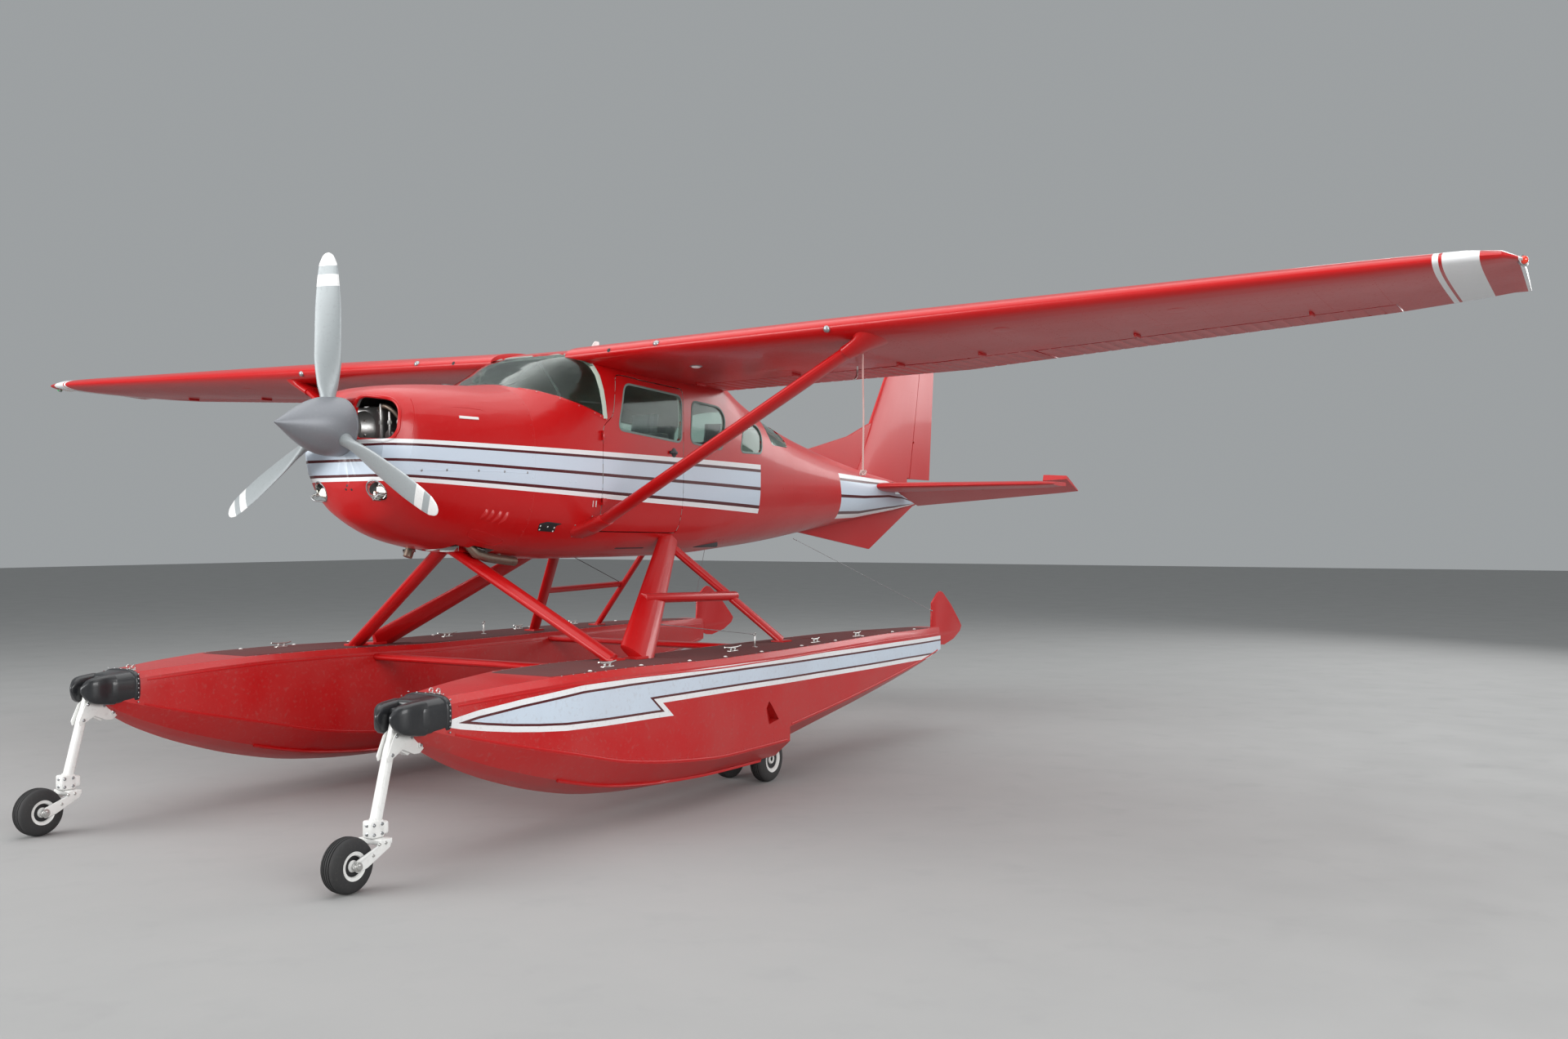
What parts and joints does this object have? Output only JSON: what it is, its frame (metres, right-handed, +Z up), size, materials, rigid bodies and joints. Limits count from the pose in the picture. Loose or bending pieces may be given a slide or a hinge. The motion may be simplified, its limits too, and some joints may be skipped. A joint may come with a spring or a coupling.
{
  "type": "floatplane",
  "caption": "Single-engine high-wing cabin floatplane with strut-braced wings, standing on the wheels of its amphibious floats.",
  "frame": {"origin": "centre of the bounding box's base: on the floor, midway between the wing tips", "axes": "+X towards the aircraft's left wing tip, -Y towards the nose, +Z up"},
  "size_m": [11.97, 9.443, 3.8],
  "materials": {
    "red_paint": "gloss",
    "white_paint": "gloss",
    "clear_glass": "gloss",
    "engine_metal": "satin",
    "grey_metal": "satin",
    "exhaust_steel": "matte",
    "tyre_rubber": "matte",
    "bumper_rubber": "matte",
    "seat_cloth": "matte",
    "panel_plastic": "matte",
    "rope_fibre": "matte"
  },
  "bodies": {
    "airframe": {"cabin": "red_paint", "cowl": "red_paint", "tail_cone": "red_paint", "fin": "red_paint", "tailplane": "red_paint", "spreader_front": "red_paint", "spreader_rear": "red_paint", "wing_left": "red_paint", "wing_right": "red_paint", "wing_strut_left": "red_paint", "wing_strut_right": "red_paint", "float_left": "red_paint", "float_right": "red_paint", "front_strut_left": "red_paint", "front_strut_right": "red_paint", "main_strut_left": "red_paint", "main_strut_right": "red_paint", "rear_strut_left": "red_paint", "rear_strut_right": "red_paint", "nose_leg_left": "white_paint", "nose_leg_right": "white_paint", "main_leg_left": "white_paint", "main_leg_right": "white_paint", "windscreen": "clear_glass", "rear_window": "clear_glass", "window_middle_left": "clear_glass", "window_aft_left": "clear_glass", "window_front_right": "clear_glass", "engine": "engine_metal", "exhaust": "exhaust_steel", "bow_bumper_left": "bumper_rubber", "bow_bumper_right": "bumper_rubber", "front_seats": "seat_cloth", "rear_seats": "seat_cloth", "instrument_panel": "panel_plastic", "tie_rope": "rope_fibre"},
    "propeller": {"spinner": "grey_metal", "blade_1": "grey_metal", "blade_2": "grey_metal", "blade_3": "grey_metal"},
    "left_door": {"door_left": "red_paint", "door_pane_left": "clear_glass"},
    "cargo_front": {"cargo_door_front": "red_paint", "cargo_pane_front": "clear_glass"},
    "cargo_rear": {"cargo_door_rear": "red_paint", "cargo_pane_rear": "clear_glass"},
    "rudder": {"rudder": "red_paint"},
    "elevator": {"elevator": "red_paint"},
    "flap_left": {"flap_left": "red_paint"},
    "aileron_left": {"aileron_left": "red_paint"},
    "nose_fork_left": {"nose_fork_left": "white_paint"},
    "nose_wheel_left": {"nose_wheel_left": "tyre_rubber"},
    "main_wheels_left": {"main_wheels_left": "tyre_rubber"},
    "water_rudder_left": {"water_rudder_left": "red_paint"},
    "flap_right": {"flap_right": "red_paint"},
    "aileron_right": {"aileron_right": "red_paint"},
    "nose_fork_right": {"nose_fork_right": "white_paint"},
    "nose_wheel_right": {"nose_wheel_right": "tyre_rubber"},
    "main_wheels_right": {"main_wheels_right": "tyre_rubber"},
    "water_rudder_right": {"water_rudder_right": "red_paint"}
  },
  "joints": [
    {"name": "propeller_spin", "type": "hinge", "parent": "airframe", "child": "propeller", "pos_m": [0, -3.6, 2.307], "axis": [0, 1, 0], "continuous": true},
    {"name": "left_door_hinge", "type": "hinge", "parent": "airframe", "child": "left_door", "pos_m": [0.612, -1.83, 2.15], "axis": [0, 0, -1], "range_deg": [0, 80]},
    {"name": "cargo_front_hinge", "type": "hinge", "parent": "airframe", "child": "cargo_front", "pos_m": [-0.612, -0.812, 2.15], "axis": [0, 0, 1], "range_deg": [0, 90]},
    {"name": "cargo_rear_hinge", "type": "hinge", "parent": "airframe", "child": "cargo_rear", "pos_m": [-0.552, 0.288, 2.15], "axis": [0, 0, -1], "range_deg": [0, 100]},
    {"name": "rudder_hinge", "type": "hinge", "parent": "airframe", "child": "rudder", "pos_m": [0, 4.05, 2.25], "axis": [0, 0.2274, 0.9738], "range_deg": [-24, 24]},
    {"name": "elevator_hinge", "type": "hinge", "parent": "airframe", "child": "elevator", "pos_m": [0, 3.54, 2.137], "axis": [1, 0, 0], "range_deg": [0, 45]},
    {"name": "flap_left_hinge", "type": "hinge", "parent": "airframe", "child": "flap_left", "pos_m": [0.65, -0.715, 2.82649], "axis": [0.9996, 0.0031, 0.029], "range_deg": [-40, 0]},
    {"name": "aileron_left_hinge", "type": "hinge", "parent": "airframe", "child": "aileron_left", "pos_m": [3.204, -0.707, 2.90273], "axis": [0.9983, -0.0437, 0.0391], "range_deg": [-18, 18]},
    {"name": "nose_caster_left", "type": "hinge", "parent": "airframe", "child": "nose_fork_left", "pos_m": [1.235, -4.38, 0.232], "axis": [0, 0, 1], "continuous": true},
    {"name": "nose_wheel_left_spin", "type": "hinge", "parent": "nose_fork_left", "child": "nose_wheel_left", "pos_m": [1.235, -4.562, 0.133], "axis": [1, 0, 0], "continuous": true},
    {"name": "main_wheels_left_spin", "type": "hinge", "parent": "airframe", "child": "main_wheels_left", "pos_m": [1.235, -1.03, 0.155], "axis": [1, 0, 0], "continuous": true},
    {"name": "water_rudder_left_lift", "type": "hinge", "parent": "airframe", "child": "water_rudder_left", "pos_m": [1.235, 2.05, 0.8], "axis": [-1, 0, 0], "range_deg": [0, 90]},
    {"name": "flap_right_hinge", "type": "hinge", "parent": "airframe", "child": "flap_right", "pos_m": [-0.65, -0.715, 2.82649], "axis": [0.9996, -0.0031, -0.029], "range_deg": [-40, 0]},
    {"name": "aileron_right_hinge", "type": "hinge", "parent": "airframe", "child": "aileron_right", "pos_m": [-3.204, -0.707, 2.90273], "axis": [0.9983, 0.0437, -0.0391], "range_deg": [-18, 18]},
    {"name": "nose_caster_right", "type": "hinge", "parent": "airframe", "child": "nose_fork_right", "pos_m": [-1.235, -4.38, 0.232], "axis": [0, 0, 1], "continuous": true},
    {"name": "nose_wheel_right_spin", "type": "hinge", "parent": "nose_fork_right", "child": "nose_wheel_right", "pos_m": [-1.235, -4.562, 0.133], "axis": [1, 0, 0], "continuous": true},
    {"name": "main_wheels_right_spin", "type": "hinge", "parent": "airframe", "child": "main_wheels_right", "pos_m": [-1.235, -1.03, 0.155], "axis": [1, 0, 0], "continuous": true},
    {"name": "water_rudder_right_lift", "type": "hinge", "parent": "airframe", "child": "water_rudder_right", "pos_m": [-1.235, 2.05, 0.8], "axis": [-1, 0, 0], "range_deg": [0, 90]}
  ],
  "couplings": [
    {"joint": "flap_right_hinge", "follows": "flap_left_hinge", "ratio": 1},
    {"joint": "aileron_right_hinge", "follows": "aileron_left_hinge", "ratio": -1},
    {"joint": "water_rudder_right_lift", "follows": "water_rudder_left_lift", "ratio": 1}
  ]
}
